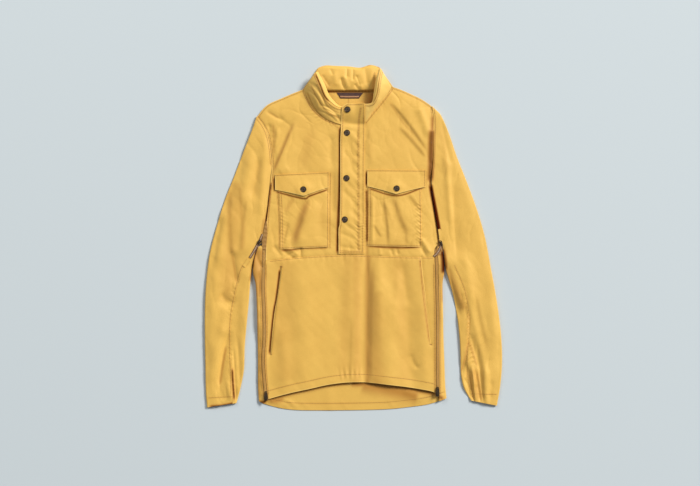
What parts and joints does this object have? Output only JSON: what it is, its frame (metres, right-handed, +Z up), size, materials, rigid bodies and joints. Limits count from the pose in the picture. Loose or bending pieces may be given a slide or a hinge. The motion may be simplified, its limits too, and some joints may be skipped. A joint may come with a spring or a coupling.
{
  "type": "anorak pullover laid flat",
  "caption": "Stand-collar anorak pullover laid flat on its back, with a snapped half placket, flapped chest pockets, side zips and sleeves at its sides.",
  "frame": {"origin": "middle of the outline from above, on the surface that the garment lies on", "axes": "+Y towards the collar, +Z up from the surface, +X to the right as seen from above with the collar up"},
  "size_m": [0.6843, 0.7939, 0.03],
  "materials": {
    "shell_cloth": "matt woven, mustard yellow",
    "zip_tape": "matt woven tape with a moulded coil",
    "dark_tape": "matt woven, dark brown",
    "dark_metal": "dark antique plated"
  },
  "bodies": {
    "garment": {"back_panel": "shell_cloth", "chest_left": "shell_cloth", "chest_right": "shell_cloth", "lower_front": "shell_cloth", "sleeve_upper_left": "shell_cloth", "sleeve_upper_right": "shell_cloth", "sleeve_under_left": "shell_cloth", "sleeve_under_right": "shell_cloth", "collar_back": "shell_cloth", "collar_left": "shell_cloth", "collar_right": "shell_cloth", "placket": "shell_cloth", "neck_facing": "shell_cloth", "chest_pocket_left": "shell_cloth", "chest_pocket_right": "shell_cloth", "pocket_flap_left": "shell_cloth", "pocket_flap_right": "shell_cloth", "pocket_welt_left": "shell_cloth", "pocket_welt_right": "shell_cloth", "side_zip_left": "zip_tape", "side_zip_right": "zip_tape", "underarm_zip_left": "zip_tape", "underarm_zip_right": "zip_tape", "hanger_loop": "dark_tape", "neck_patch": "dark_tape", "snap_collar": "dark_metal", "snap_placket_1": "dark_metal", "snap_placket_2": "dark_metal", "snap_placket_3": "dark_metal", "snap_flap_left": "dark_metal", "snap_flap_right": "dark_metal", "zip_slider_left": "dark_metal", "zip_slider_right": "dark_metal", "underarm_slider_left": "dark_metal", "underarm_slider_right": "dark_metal"},
    "pull_left": {"zip_pull_left": "dark_metal"},
    "pull_right": {"zip_pull_right": "dark_metal"}
  },
  "joints": [
    {"name": "pull_left_hinge", "type": "hinge", "parent": "garment", "child": "pull_left", "pos_m": [-0.201, -0.369, 0.00997], "axis": [1, 0, 0], "range_deg": [0, 170]},
    {"name": "pull_right_hinge", "type": "hinge", "parent": "garment", "child": "pull_right", "pos_m": [0.193, -0.359, 0.01009], "axis": [1, 0, 0], "range_deg": [0, 170]}
  ]
}
